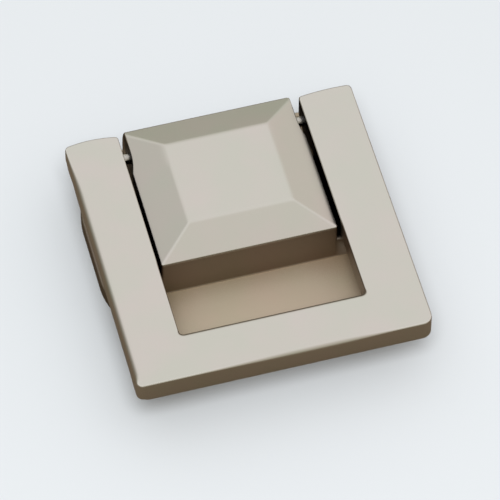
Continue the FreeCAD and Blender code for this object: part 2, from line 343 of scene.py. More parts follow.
def convexity_share(mesh):
    """How sharply convex the metal is at each point, which is where the barrel has rubbed it smoother and
    where a highlight is painted.

    Along an edge of the mesh the curvature is (n2 - n1) . (p2 - p1) / |p2 - p1| ** 2. A point takes
    the mean of the curvatures above zero of its edges, times the radius that counts as fully convex.
    """
    pairs = np.empty(len(mesh.edges) * 2, dtype=int)
    mesh.edges.foreach_get("vertices", pairs)
    points = per_point(mesh, "co")
    normals = per_point(mesh, "normal")
    along = points[pairs[1::2]] - points[pairs[::2]]
    turned_by = normals[pairs[1::2]] - normals[pairs[::2]]
    curvature = (along * turned_by).sum(axis=1) / np.maximum((along ** 2).sum(axis=1), WELD ** 2)
    total = np.bincount(pairs, np.repeat(np.maximum(curvature, 0), 2), len(points))
    mean = total / np.maximum(np.bincount(pairs, minlength=len(points)), 1)
    return np.clip(mean * FULL_CONVEXITY_RADIUS, 0, 1)


def finish_piece(piece, body, node_name, material):
    """Shades a piece, marks its convex edges, which are rubbed smoother and lightened as a painted highlight,
    and hangs it on its body in place of its plain solid.
    """
    piece.data.shade_smooth()
    piece.data.set_sharp_from_angle(angle=CRISP_ANGLE)
    store_share(piece.data, "edge_rub_and_highlight", convexity_share(piece.data))
    piece.data.materials.clear()
    piece.data.materials.append(material)
    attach(piece, body)
    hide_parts(node_name)


def add_node(tree, kind, settings=None, inputs=None, links=None):
    """Adds a shader node with its settings, its input values and its links from (node, output name)."""
    made = tree.nodes.new("ShaderNode" + kind)
    for name, value in (settings or {}).items():
        setattr(made, name, value)
    for name, value in (inputs or {}).items():
        made.inputs[name].default_value = value
    for name, (source, output) in (links or {}).items():
        tree.links.new(source.outputs[output], made.inputs[name])
    return made


def new_material(name):
    """An empty material and its node tree."""
    material = bpy.data.materials.new(name)
    material.use_nodes = True
    material.node_tree.nodes.clear()
    return material, material.node_tree


def satin_nickel(finish):
    """Satin nickel plate on a zinc casting.

    The casting is blasted with fine beads before it is plated, so the plate has an even, silky sheen
    with no lines. The plating bath leaves faint warm and cool areas some millimetres across. The
    tumbling barrel makes the convex edges smoother, and their colour is lightened there as a painted
    highlight. Shade is painted as a browner tint on the walls below the facets, round the opening and
    under the bail, where the metal is also rougher; the front of the back plate stays matt under a
    dull film, with shade painted close to its walls; and near-black shade is painted in the narrow gaps.
    """
    material, tree = new_material("satin_nickel_plate")
    place = add_node(tree, "TexCoord")
    # The bath's areas are 9 mm across. Real bead marks are about 0.05 mm: they are drawn at 0.14 mm
    # so that they show
    bath, beads = [
        (add_node(tree, "TexNoise",
                  inputs={"Scale": 1 / size, "Detail": detail, "Roughness": roughness},
                  links={"Vector": (place, "Object")}), "Fac")
        for size, detail, roughness in ((9 * MM, 2.0, 0.5), (0.14 * MM, 3.0, 0.6))]
    edge_rub_and_highlight, painted_shade, matt = [
        (add_node(tree, "Attribute", settings={"attribute_name": name}), "Fac")
        for name in ("edge_rub_and_highlight", "painted_shade", "matt")]
    # How open the metal is within the reach of a narrow gap, and of the walls round the matt floor: these set
    # where shade is painted
    in_gap, by_walls = [
        (add_node(tree, "AmbientOcclusion", settings={"samples": 8},
                  inputs={"Distance": reach}), "AO")
        for reach in (2.6 * MM, 9 * MM)]
    warm, rub_and_highlight, shade_tint_share, beside_gap, narrow, close = [
        (add_node(tree, "MapRange", inputs={"From Min": low, "From Max": high},
                  links={"Value": source}), "Result")
        for source, low, high in ((bath, 0.35, 0.65), (edge_rub_and_highlight, 0.2, 1.0), (painted_shade, 0.0, 0.5),
                                  (painted_shade, 0.5, 1.0), (in_gap, 1.0, 0.85), (by_walls, 0.7, 0.4))]
    # Shares of painted shade close to the walls round the matt floor, and of near-black painted shade in the
    # narrow gaps
    sheltered, residue = [
        (add_node(tree, "Math", settings={"operation": "MULTIPLY"},
                  links={0: first, 1: second}), "Value")
        for first, second in ((close, matt), (narrow, beside_gap))]
    # Colours laid over the nickel in turn: warm areas of the bath, a painted highlight on convex edges, a
    # browner painted shade, the matt floor's own tint, painted shade close to its walls and near-black painted
    # shade in the gaps
    below = {}
    for share, how, tone in ((warm, BLEND, finish.nickel_warm), (rub_and_highlight, BLEND, finish.nickel_edge),
                             (shade_tint_share, TINT, finish.recess_tint), (matt, TINT, finish.matt_tint),
                             (sheltered, TINT, finish.shelter_tint), (residue, BLEND, finish.residue)):
        colour = add_node(tree, "Mix", settings=how,
                          inputs={FIRST: (*finish.nickel, 1), SECOND: (*tone, 1)},
                          links={SHARE: share, **below})
        below = {FIRST: (colour, MIXED)}
    sheen = add_node(tree, "MapRange", inputs={"To Min": 0.26, "To Max": 0.34},
                     links={"Value": beads})
    roughness = (sheen, "Result")
    for share, change in ((rub_and_highlight, -0.05), (painted_shade, 0.2), (matt, 0.3)):
        rougher = add_node(tree, "Math", settings={"operation": "MULTIPLY_ADD"},
                           inputs={1: change}, links={0: share, 2: roughness})
        roughness = (rougher, "Value")
    bare = add_node(tree, "MapRange", inputs={"To Min": 1.0, "To Max": 0.25},
                    links={"Value": matt})
    grain = add_node(tree, "Bump", inputs={"Strength": 0.25, "Distance": 0.004 * MM},
                     links={"Height": beads})
    shader = add_node(tree, "BsdfPrincipled",
                      links={"Base Color": (colour, MIXED), "Roughness": roughness,
                             "Metallic": (bare, "Result"), "Normal": (grain, "Normal")})
    add_node(tree, "OutputMaterial", links={"Surface": (shader, "BSDF")})
    return material


def bright_steel(finish):
    """Cold-drawn steel rod: bright, with fine lines along it from the drawing die, and near-black shade
    painted on it in the gaps.
    """
    material, tree = new_material("bright_drawn_steel")
    place = add_node(tree, "TexCoord")
    stretch = add_node(tree, "Mapping", inputs={"Scale": (0.02, 1, 1)},
                       links={"Vector": (place, "Object")})
    # Die lines are about 0.05 mm apart: they are drawn at 0.12 mm so that they show
    lines = add_node(tree, "TexNoise", inputs={"Scale": 1 / (0.12 * MM), "Detail": 2.0},
                     links={"Vector": (stretch, "Vector")})
    roughness = add_node(tree, "MapRange", inputs={"To Min": 0.12, "To Max": 0.26},
                         links={"Value": (lines, "Fac")})
    score = add_node(tree, "Bump", inputs={"Strength": 0.3, "Distance": 0.004 * MM},
                     links={"Height": (lines, "Fac")})
    # Near-black shade painted on the rod where ambient occlusion finds the gap's walls close by
    in_gap = add_node(tree, "AmbientOcclusion", settings={"samples": 8},
                      inputs={"Distance": 1.5 * MM})
    clear = add_node(tree, "MapRange", inputs={"From Min": 0.35, "From Max": 0.65},
                     links={"Value": (in_gap, "AO")})
    colour = add_node(tree, "Mix", settings=BLEND,
                      inputs={FIRST: (*finish.residue, 1), SECOND: (*finish.rod_steel, 1)},
                      links={SHARE: (clear, "Result")})
    shader = add_node(tree, "BsdfPrincipled", inputs={"Metallic": 1.0},
                      links={"Base Color": (colour, MIXED), "Roughness": (roughness, "Result"),
                             "Normal": (score, "Normal")})
    add_node(tree, "OutputMaterial", links={"Surface": (shader, "BSDF")})
    return material


def rounded_polygon(corners, radii, steps=14):
    """Anticlockwise plan outline of a polygon with an arc in each corner.

    An arc meets each side at radius * tan(turn / 2) from its corner. Its points are its centre plus
    its radius times (cos t, sin t), while t goes from one side's outward direction to the next's.
    """
    corners = np.asarray(corners, dtype=float)
    radii = np.asarray(radii, dtype=float)
    before = corners - np.roll(corners, 1, axis=0)
    before /= np.linalg.norm(before, axis=1, keepdims=True)
    after = np.roll(before, -1, axis=0)
    turn = np.arctan2(before[:, 0] * after[:, 1] - before[:, 1] * after[:, 0], (before * after).sum(axis=1))
    outward = np.stack([before[:, 1], -before[:, 0]], axis=1)
    start = corners - before * (radii * np.tan(turn / 2))[:, None]
    centre = start - outward * radii[:, None]
    angle = np.arctan2(outward[:, 1], outward[:, 0])[:, None] + turn[:, None] * np.linspace(0, 1, steps)
    arcs = centre[:, None] + radii[:, None, None] * np.stack([np.cos(angle), np.sin(angle)], axis=2)
    arcs = np.concatenate([arcs[:, :1] - before[:, None] * GUARD, arcs, arcs[:, -1:] + after[:, None] * GUARD],
                          axis=1)
    return arcs.reshape(-1, 2)


def rounded_box(low, high, corner):
    """Anticlockwise plan outline of a rectangle with equal round corners."""
    corners = [(high[0], low[1]), (high[0], high[1]), (low[0], high[1]), (low[0], low[1])]
    return rounded_polygon(corners, [corner] * 4)


def plate_outline(base):
    """Plan outline of the back plate.

    Each side is flat in the middle and bends in towards its corners. Each end is a shallow arc that
    stops short of its corners.
    """
    arc_to_corner = 4 * MM
    side_x = base.plate_width / 2
    bend_y = base.plate_side_flat / 2
    corner_x = side_x - base.plate_side_taper
    corner_y = base.plate_length / 2 - base.plate_end_bow
    arc_half = corner_x - arc_to_corner
    peak_y = corner_y + base.plate_end_bow / (1 - arc_half / (2 * corner_x))
    end_radius = arc_half / math.tan(math.atan2(peak_y - corner_y, corner_x))
    half = np.array([(side_x, -bend_y), (side_x, bend_y), (corner_x, corner_y), (0, peak_y),
                     (-corner_x, corner_y)])
    radii = [base.plate_bend, base.plate_bend, base.plate_corner, end_radius, base.plate_corner]
    corners = np.concatenate([half, -half])
    corners[2:5, 1] -= base.plate_back_trim
    return rounded_polygon(corners, radii * 2)


def slab(name, outline, bottom, top, bottom_edge, top_edge, margin=0.0):
    """A flat-topped solid on a plan outline, with rounded lower and upper edges.

    Each ring is the outline moved inwards by the inset of its step and set at that step's height. A
    margin adds one more ring that far in on the top.
    """
    inset, drop = roll()
    flat = [top_edge + GUARD] + ([top_edge + margin] if margin else [])
    insets = np.concatenate([[bottom_edge + GUARD], inset * bottom_edge, inset[::-1] * top_edge, flat])
    heights = np.concatenate([[bottom], bottom + drop * bottom_edge, top - drop[::-1] * top_edge,
                              [top] * len(flat)])
    plan = outline[None] - loop_normals(outline)[None] * insets[:, None, None]
    rings = np.concatenate([plan, np.broadcast_to(heights[:, None, None], (*plan.shape[:2], 1))], axis=2)
    return new_object(name, *lofted(rings))


def turned(name, profile, centre, axis, steps=64):
    """A solid of revolution from a profile of (distance along the axis, radius), closed by its end faces."""
    turn = np.linspace(0, 2 * math.pi, steps, endpoint=False)
    along = np.array(axis, dtype=float)
    side = np.array([along[1], along[2], along[0]])
    other = np.cross(along, side)
    profile = np.asarray(profile)
    spoke = np.cos(turn)[:, None] * side + np.sin(turn)[:, None] * other
    rings = (np.asarray(centre) + profile[:, 0, None, None] * along
             + profile[:, 1, None, None] * spoke[None])
    return new_object(name, *lofted(rings))


def block_ends(base):
    """(front, back) of the block."""
    back = ARM_END_Y + base.block_behind_arms
    return back - base.block_length, back


def block_outline(base):
    """Anticlockwise plan outline of the block, whose sides are relieved next to the eyes.

    Beside the straight part of the relief the half width is the block's less the relief's depth. In
    front of it the half width grows along an arc, half = face + R - sqrt(R * R - d * d), for the
    distance d in front of the straight part, until it meets the full width.
    """
    spacing = 0.16 * MM
    front, back = block_ends(base)
    corner = base.block_corner
    half = base.block_width / 2
    face = half - base.relief_depth

    y = np.linspace(front + corner, back - corner, int(base.block_length / spacing))
    ahead = np.clip(back - base.relief_length - y, 0, base.relief_radius * 0.9)
    bulge = base.relief_radius - np.sqrt(base.relief_radius ** 2 - ahead ** 2)
    right = np.stack([np.minimum(face + bulge, half), y], axis=1)
    turn = np.linspace(0, math.pi / 2, 8)[1:-1]
    bend = corner * np.stack([np.cos(turn), np.sin(turn)], axis=1)
    back_right = np.array([face - corner, back - corner]) + bend
    x = np.linspace(face - corner, corner - face, int(2 * face / spacing))
    behind = np.stack([x, np.full_like(x, back)], axis=1)
    front_left = np.array([corner - half, front + corner]) - bend
    x = np.linspace(corner - half, half - corner, int(base.block_width / spacing))
    before = np.stack([x, np.full_like(x, front)], axis=1)
    mirror = np.array([-1, 1])
    return np.concatenate([right, back_right, behind, (back_right * mirror)[::-1], (right * mirror)[::-1],
                           front_left, before, (front_left * mirror)[::-1]])


def soft_minimum(first, second, softness):
    """The lower height, with a rounded crease: min(a, b) - s / 4 * max(1 - |a - b| / s, 0) ** 2."""
    near = np.maximum(1 - np.abs(first - second) / softness, 0)
    return np.minimum(first, second) - softness / 4 * near ** 2


def facet_height(base, plan):
    """Height of the block's top over plan points: the soft minimum of four slopes and the flat.

    A slope is the rim height plus the rise times the distance in from its side over its run.
    """
    front, back = block_ends(base)
    half = base.block_width / 2
    rise = BLOCK_TOP_Z - base.block_rim_height
    x, y = plan[..., 0], plan[..., 1]
    height = (half - x) / base.facet_run_sides
    for other in ((half + x) / base.facet_run_sides, (y - front) / base.facet_run_front,
                  (back - y) / base.facet_run_back, np.ones_like(x)):
        height = soft_minimum(height, other, base.crease_softness / rise)
    return base.block_rim_height + rise * height


def block_shell(base):
    """The faceted block.

    Its wall rings are the plan outline, with the back let out along an arc as it goes down. Its rim
    is an arc from upright to the slope of the facets. Its top rings move in from the rim to the flat
    and on to the middle, each at the height of the facets there.
    """
    outline = block_outline(base)
    normals = loop_normals(outline)
    front, back = block_ends(base)
    half = base.block_width / 2
    slope = math.atan2(BLOCK_TOP_Z - base.block_rim_height, base.facet_run_sides)
    angle = np.linspace(0, math.pi / 2 - slope, ROLL_STEPS)
    inset = base.block_edge * (1 - np.cos(angle))
    lip = outline - normals * inset[-1]
    rim_plan = outline[None] - normals[None] * inset[:, None, None]
    rim_height = facet_height(base, lip)[None] - base.block_edge * (np.sin(angle[-1]) - np.sin(angle))[:, None]

    wall_steps = np.linspace(0, 1, 26)[:-1]
    wall_height = rim_height[0][None] * wall_steps[:, None]
    flare_radius = (base.back_flare ** 2 + base.back_flare_height ** 2) / (2 * base.back_flare)
    above = base.back_flare_height - np.clip(base.block_rim_height - wall_height, 0, base.back_flare_height)
    flare = base.back_flare - (flare_radius - np.sqrt(flare_radius ** 2 - above ** 2))
    reach = np.clip((outline[:, 1] - back) / base.relief_length + 1, 0, 1)
    wall_plan = np.broadcast_to(outline[None], (len(wall_steps), *outline.shape)).copy()
    wall_plan[..., 1] += flare * reach[None]

    flat_front = front + base.facet_run_front
    flat_back = back - base.facet_run_back
    flat = np.stack([lip[:, 0] * (half - base.facet_run_sides) / half,
                     flat_front + (lip[:, 1] - front) / (back - front) * (flat_back - flat_front)], axis=1)
    inwards = np.concatenate([[0.01, 0.04, 0.1], np.linspace(0.2, 0.9, 8), np.linspace(0.92, 1, 9)])
    slope_plan = lip[None] * (1 - inwards)[:, None, None] + flat[None] * inwards[:, None, None]
    middle = np.array([0, (flat_front + flat_back) / 2])
    closer = np.array([0.01, 0.02, 0.035, 0.05, 0.08, 0.15, 0.3, 0.6, 0.9])
    flat_plan = flat[None] + (middle - flat)[None] * closer[:, None, None]

    plan = np.concatenate([wall_plan, rim_plan, slope_plan, flat_plan])
    height = np.concatenate([wall_height, rim_height, facet_height(base, slope_plan),
                             facet_height(base, flat_plan)])
    return new_object("block", *lofted(np.concatenate([plan, height[..., None]], axis=2)))


def matt_floor(base, points):
    """Where the base is left matt, as it was blasted: the front face of the plate, short of its sides."""
    x, _, z = points.T
    side = base.plate_width / 2 - base.plate_edge
    top = base.plate_thickness
    return fade(z, top, 0.3, 0.1) * fade(z, top, -0.1, -0.02) * fade(np.abs(x), side, -0.1, -0.9)


def painted_shade_of_base(base, points):
    """How much shade is painted on a place on the base, where its metal is also rougher.

    Outer faces and the ledges' front edges have 0, the walls below the facets and the plate's edge
    0.5, and the walls and ledges along the gaps beside the arms 1.
    """
    front, back = block_ends(base)
    half = base.block_width / 2
    face = half - base.relief_depth
    plate, ledge = base.plate_thickness, base.ledge_height
    x, y, z = points.T
    across = np.abs(x)
    surface = np.maximum(facet_height(base, points[:, :2]), base.block_rim_height)
    wall = fade(z, surface, -0.06, -0.22)
    gap = fade(across, face, -0.4, -0.1) * fade(y, front, 0.2, 0.8)
    behind = 0.6 * fade(y, back, -0.5, 0) * (1 - gap) * fade(z, surface, -0.5, -1.2)
    # The ledges' front edges are left out of the painted shade, so that they catch a glint
    unshaded_ledge_edge = (fade(z, ledge, -0.45, -0.25) * (z < ledge + 0.01 * MM)
            * fade(y, front, 0.5, 0.3) * (across > half + 0.02 * MM))
    depth = 0.5 + 0.5 * gap * fade(z, plate, 0, 0.6)
    return wall * depth * (1 - behind) * (1 - unshaded_ledge_edge) * (1 - matt_floor(base, points))


def core_cutter(base):
    """The pocket's shape: a slab with round corners that starts below the back face."""
    low = (-base.core_width / 2, block_ends(base)[0] + base.core_wall)
    high = (base.core_width / 2, PIVOT_Y - ROD_RADIUS - base.core_to_rod)
    return slab("core_cutter", rounded_box(low, high, base.core_corner), -base.plate_thickness,
                base.core_depth, GUARD, base.core_corner * 0.9)


def fixing_hole_cutter(base, x):
    """One fixing hole: a countersunk mouth, a plain bore and a drill point of 118 degrees."""
    radius = base.hole_radius
    mouth = radius + base.hole_chamfer
    point = radius / math.tan(math.radians(59))
    profile = [(-base.hole_chamfer, mouth + base.hole_chamfer), (base.hole_chamfer, radius),
               (base.hole_depth, radius), (base.hole_depth + point * 0.98, radius * 0.02)]
    return turned("fixing_hole_cutter", profile, (x, 0, 0), Z_AXIS)


def base_casting(base):
    """The base as one skin: plate, pedestal and block joined, then the pocket and the holes cut."""
    casting = slab("base_casting", plate_outline(base), 0, base.plate_thickness, 0.1 * MM, base.plate_edge,
                   margin=1 * MM)
    # The pedestal's front stands a hair behind the block's, which makes one face of the two
    hair = 0.01 * MM
    step = rounded_box((-base.pedestal_width / 2, block_ends(base)[0] + hair),
                       (base.pedestal_width / 2, PIVOT_Y - base.pedestal_to_pivot), base.pedestal_corner)
    pedestal = slab("pedestal", step, base.plate_thickness / 2, base.ledge_height, GUARD,
                    base.pedestal_edge)
    combine(casting, [pedestal, block_shell(base)], "UNION")
    radius = ROD_RADIUS + base.rod_clearance
    rod_hole = turned("rod_hole_cutter", [(-base.block_width, radius), (base.block_width, radius)],
                      PIVOT, X_AXIS)
    holes = [fixing_hole_cutter(base, side * base.hole_spacing / 2) for side in (-1, 1)]
    combine(casting, [core_cutter(base), rod_hole, *holes], "DIFFERENCE")
    return casting


def arm_underside(bail, y):
    """Height of the bail's underside: level, a soft bend, a tangent of the eye, and the eye's circle."""
    eye = ARM_END_Y - PIVOT_Y
    level = BAIL_TOP_Z - bail.thickness
    drop = PIVOT_Z - level
    run = bail.taper_length
    slope = abs(math.acos(eye / math.hypot(run, drop)) - math.atan2(run, drop))
    tangent_y = PIVOT_Y - eye * math.sin(slope)
    tangent_z = PIVOT_Z - eye * math.cos(slope)
    straight = tangent_z + (tangent_y - y) * math.tan(slope)
    circle = PIVOT_Z - np.sqrt(np.maximum(eye ** 2 - (y - PIVOT_Y) ** 2, 0))
    lower = np.where(y > tangent_y, circle, straight)
    bend = bail.taper_blend * math.tan(slope / 2) * math.tan(slope)
    return soft_minimum(lower, np.full_like(lower, level), max(bend, GUARD))


def bail_stations(bail):
    """Matching points of the bail's outer and inner plan outlines, with the directions into the metal.

    Down each arm a pair of points has the same y. Round each front corner the outer point runs along
    the outer outline as the inner one turns about its corner's centre. Along the bar a pair has the
    same x.
    """
    end, front = ARM_END_Y, BAR_FRONT_Y
    half = bail.width / 2
    inner_x = half - bail.arm_width
    inner_y = front + bail.bar_width
    centre = np.array([bail.inside_corner - inner_x, inner_y + bail.inside_corner])

    def end_round(y, radius):
        """(set-in, direction) of an outline that turns into the arm's end round a corner."""
        ahead = np.clip((y - (end - radius)) / radius, 0, 1)
        level = np.sqrt(1 - ahead ** 2)
        return radius * (1 - level), np.stack([level, ahead], axis=1)

    large = bail.end_corner
    end_y = end - large + large * np.cos(np.linspace(0, math.pi / 2, 14))
    eye_y = np.linspace(end - large, PIVOT_Y - bail.taper_length - 2 * MM, 40)[1:]
    arm_y = np.linspace(eye_y[-1], centre[1], 46)[1:]
    y = np.concatenate([end_y, eye_y, arm_y])
    outer_set, outer_way = end_round(y, large)
    inner_set, inner_way = end_round(y, bail.inner_end_corner)
    outer_arm = np.stack([outer_set - half, y], axis=1)
    inner_arm = np.stack([-inner_x - inner_set, y], axis=1)

    share = np.concatenate([np.linspace(0, 0.44, 12)[1:], np.linspace(0.45, 0.55, 15),
                            np.linspace(0.56, 1, 12)])
    swing = share * math.pi / 2
    inner_bend_in = -np.stack([np.cos(swing), np.sin(swing)], axis=1)
    inner_bend = centre + bail.inside_corner * inner_bend_in

    bar_x = np.linspace(centre[0], 0, 60)[1:]
    outer_bar = np.stack([bar_x, np.full_like(bar_x, front)], axis=1)
    inner_bar = np.stack([bar_x, np.full_like(bar_x, inner_y)], axis=1)
    up = np.broadcast_to([0.0, 1.0], outer_bar.shape)

    sides = []
    for corner, mirror in ((bail.left_corner, [1, 1]), (bail.right_corner, [-1, 1])):
        straight = centre[1] - (front + corner)
        arc = corner * math.pi / 2
        across = centre[0] - (corner - half)
        travel = share * (straight + arc + across)
        angle = np.clip((travel - straight) / corner, 0, math.pi / 2)
        outer_bend_in = np.stack([np.cos(angle), np.sin(angle)], axis=1)
        outer_bend = np.stack([
            corner - half - corner * np.cos(angle) + np.maximum(travel - straight - arc, 0),
            front + corner - corner * np.sin(angle) + np.maximum(straight - travel, 0),
        ], axis=1)
        parts = ((outer_arm, outer_bend, outer_bar), (outer_way * [1, -1], outer_bend_in, up),
                 (inner_arm, inner_bend, inner_bar), (inner_way * [-1, -1], inner_bend_in, -up))
        sides.append([np.concatenate(part) * mirror for part in parts])
    return [np.concatenate([left, right[-2::-1]]) for left, right in zip(*sides)]


def upper_roll(bail, points, outside):
    """Radius of the bail's upper edge at plan points: fine inside and at the ends, and rolled outside.

    Outside, the left arm's roll fades in behind its end, and the bar's is a hump that is widest
    right of the middle.
    """
    x, y = points.T
    fine = bail.fine_edge
    along_arm = fade(y, ARM_END_Y, -1, -11) * fade(y, BAR_FRONT_Y, 0, 3)
    arm = np.where(x < 0, bail.left_roll, bail.right_roll) - fine
    hump = fade(x, 0, -18, 5) * fade(x, 0, 21, 9)
    on_bar = fade(y, BAR_FRONT_Y, 1.5, 0)
    rolled = fine + arm * along_arm * (1 - on_bar) + (bail.bar_roll - fine) * hump * on_bar
    inner_y = BAR_FRONT_Y + bail.bar_width
    at_opening = smooth_step(inner_y + bail.inside_corner, inner_y, y)
    return np.where(outside, rolled, fine + (bail.bar_inner_edge - fine) * at_opening)


def painted_shade_of_bail(bail, base, points):
    """How much shade is painted on a place on the bail, where its metal is also rougher.

    Outer faces have 0, the underside 0.3, the walls round the opening and a thin painted dark line just below
    the top edge of each arm's end 0.5, and the walls along the gaps beside the block 1.
    """
    inner_x = bail.width / 2 - bail.arm_width
    inner_y = BAR_FRONT_Y + bail.bar_width
    block_front = block_ends(base)[0]
    top = BAIL_TOP_Z
    bottom = top - bail.thickness
    x, y, z = points.T
    inner = fade(np.abs(x), inner_x, 0.35, 0.1) * (y > inner_y - 0.9 * MM)
    beside_block = fade(y, block_front, 0, 0.8)
    opening = 0.5 * (1 - beside_block) * fade(z, top, 0, -0.06)
    gap = beside_block * fade(z, top, -0.1, -0.25)
    under = 0.3 * fade(z, bottom, 0.6, 0)
    # A thin dark line painted just below the top edge of each arm's end
    end_edge = 0.5 * fade(z, top, -0.002, -0.015) * fade(z, top, -0.5, -0.3) * (y > ARM_END_Y - 0.5 * MM)
    return np.maximum(np.maximum(inner * (opening + gap), under), end_edge)


def bail_casting(bail):
    """The bail as one skin.

    Its wall is a stack of rings, each the whole plan outline moved into the metal by the inset of its
    step. The underside and the top are sheets of straight lines from each outer point to its inner
    one. Near the arms' ends the whole is pushed back by a crown across each arm.
    """
    columns = 9
    share = np.linspace(0, 1, columns)
    outer, outer_in, inner, inner_in = bail_stations(bail)
    count = len(outer)
    right_end = outer[-1] + (inner[-1] - outer[-1]) * share[1:-1, None]
    left_end = inner[0] + (outer[0] - inner[0]) * share[1:-1, None]
    forwards = np.broadcast_to([0.0, -1.0], right_end.shape)
    outline = np.concatenate([outer, right_end, inner[::-1], left_end])
    into = np.concatenate([outer_in, forwards, inner_in[::-1], forwards])
    outside = np.arange(len(outline)) < count
    x, y = outline.T

    upper = upper_roll(bail, outline, outside)
    on_arm = np.maximum(fade(y, BAR_FRONT_Y, 1, 6), 0.6 * fade(x + bail.width / 2, 0, 2.2, 0.8))
    by_eye = fade(y, PIVOT_Y, -7, -2)
    lower = (bail.lower_bar_roll + (bail.lower_arm_roll - bail.lower_bar_roll) * on_arm
             + (bail.lower_eye_roll - bail.lower_arm_roll) * by_eye)
    lower = np.where(outside, lower, bail.lower_inside_roll)
    lower = lower * (1 - np.clip(-into[:, 1] * (y > PIVOT_Y), 0, 1))

    def ring(insets, rise=None, drop=None):
        """The outline moved into the metal, at a rise above the underside or a drop below the top."""
        plan = outline + into * insets[:, None]
        height = BAIL_TOP_Z - drop if rise is None else arm_underside(bail, plan[:, 1]) + rise
        return np.concatenate([plan, height[:, None]], axis=1)

    steps = list(zip(*roll()))
    level = np.zeros(len(outline))
    wall = np.stack([
        ring(lower + GUARD, rise=level),
        *[ring(lower * inset, rise=lower * height) for inset, height in steps],
        *[ring(upper * inset, drop=upper * depth) for inset, depth in steps[::-1]],
        ring(upper + GUARD, drop=level),
    ])

    def sheet(edge):
        """The grid of straight lines across the metal between the two halves of a ring."""
        first = edge[:count]
        second = edge[count + columns - 2:2 * count + columns - 2][::-1]
        grid = first[:, None] + (second - first)[:, None] * share[None, :, None]
        grid[-1, 1:-1] = edge[count:count + columns - 2]
        grid[0, 1:-1] = edge[2 * count + columns - 2:][::-1]
        return grid

    underside = sheet(wall[0])
    underside[..., 2] = arm_underside(bail, underside[..., 1])
    points = np.concatenate([part.reshape(-1, 3) for part in (wall, underside, sheet(wall[-1]))])
    quads = grid_faces(count, columns, closed=False) + wall.shape[0] * wall.shape[1]
    faces = np.concatenate([grid_faces(len(wall), len(outline), closed=True), quads,
                            quads[:, ::-1] + count * columns])

    across = (np.abs(points[:, 0]) - (bail.width / 2 - bail.arm_width)) / bail.arm_width
    crown = np.where(points[:, 0] < 0,
                     bail.left_crown * (1 - ((across - 0.5) / 0.5) ** 2) - bail.left_set_back,
                     bail.right_crown * (1 - ((across - 0.65) / 0.65) ** 2))
    points[:, 1] += crown * fade(points[:, 1], ARM_END_Y, -5, 0)
    casting = new_object("bail_casting", points, faces.tolist())
    start = bail.rod_end_wall - bail.width / 2
    eyes = turned("eye_cutter", [(start, ROD_RADIUS), (bail.width, ROD_RADIUS)], PIVOT, X_AXIS)
    combine(casting, [eyes], "DIFFERENCE")
    return casting


def hinge_rod_shell(rod):
    """The rod: its profile is a cylinder with a chamfer at each end, turned about the pivot axis."""
    low, high = ROD_LOW.x, ROD_HIGH.x
    small = rod.radius - rod.chamfer
    profile = [(low, small), (low + rod.chamfer, rod.radius), (high - rod.chamfer, rod.radius), (high, small)]
    return turned("hinge_rod_turned", profile, PIVOT, X_AXIS)


class RINGPULL_OT_base(bpy.types.Operator):
    """Builds the cast base: plate, pedestal and faceted block"""

    bl_idname = "ring_pull.add_base"
    bl_label = "Base"

    def execute(self, context):
        scene = context.scene
        casting = base_casting(scene.ring_pull_base)
        places = per_point(casting.data, "co")
        store_share(casting.data, "painted_shade", painted_shade_of_base(scene.ring_pull_base, places))
        store_share(casting.data, "matt", matt_floor(scene.ring_pull_base, places))
        finish_piece(casting, "base", "base", satin_nickel(scene.ring_pull_finish))
        return {"FINISHED"}


class RINGPULL_OT_bail(bpy.types.Operator):
    """Builds the square bail"""

    bl_idname = "ring_pull.add_bail"
    bl_label = "Bail"

    def execute(self, context):
        scene = context.scene
        casting = bail_casting(scene.ring_pull_bail)
        painted_shade = painted_shade_of_bail(scene.ring_pull_bail, scene.ring_pull_base, per_point(casting.data, "co"))
        store_share(casting.data, "painted_shade", painted_shade)
        finish_piece(casting, "bail", "bail", satin_nickel(scene.ring_pull_finish))
        return {"FINISHED"}


class RINGPULL_OT_rod(bpy.types.Operator):
    """Builds the hinge rod"""

    bl_idname = "ring_pull.add_hinge_rod"
    bl_label = "Hinge rod"

    def execute(self, context):
        scene = context.scene
        rod = hinge_rod_shell(scene.ring_pull_rod)
        finish_piece(rod, "bail", "hinge_rod", bright_steel(scene.ring_pull_finish))
        return {"FINISHED"}


def plain_material(name, colour, roughness):
    """A matt stage surface of one colour."""
    material, tree = new_material(name)
    shader = add_node(tree, "BsdfPrincipled",
                      inputs={"Base Color": (*colour, 1), "Roughness": roughness,
                              "Specular IOR Level": 0.0})
    add_node(tree, "OutputMaterial", links={"Surface": (shader, "BSDF")})
    return material


def disc(name, radius, height):
    """A level disc: rings of points whose distance from the middle grows evenly to the radius."""
    rows, around = 24, 96
    turn = np.linspace(0, 2 * math.pi, around, endpoint=False)
    reach = radius * np.linspace(0.02, 1, rows)[:, None]
    rings = np.stack([reach * np.cos(turn), reach * np.sin(turn), np.full((rows, around), height)], axis=2)
    faces = grid_faces(rows, around, closed=True)[:, ::-1].tolist() + [list(range(around))]
    return new_object(name, rings.reshape(-1, 3), faces)


def seen_in_metal_only(card):
    """A card that the camera and the lamps pass by, and that polished metal mirrors."""
    for ray in ("camera", "diffuse", "shadow", "transmission", "volume_scatter"):
        setattr(card, "visible_" + ray, False)


class RINGPULL_OT_stage(bpy.types.Operator):
    """Sets up the pale floor, the soft light and the camera"""

    bl_idname = "ring_pull.add_stage"
    bl_label = "Stage"

    def execute(self, context):
        scene = context.scene
        studio = scene.ring_pull_studio
        floor = disc("floor", radius=6.0, height=-0.02 * MM)
        floor.data.materials.append(plain_material("pale_floor", studio.floor, roughness=0.9))
        # The photograph is a cut-out: its upright faces mirror a brown table, not the pale floor
        table = disc("dark_table", radius=3.0, height=0.05 * MM)
        table.data.materials.append(plain_material("brown_table", studio.surround, roughness=0.8))
        seen_in_metal_only(table)
        add_world(scene, studio)
        add_key_lamp(scene, studio)
        add_camera(scene, studio)
        scene.view_settings.view_transform = "Standard"
        return {"FINISHED"}


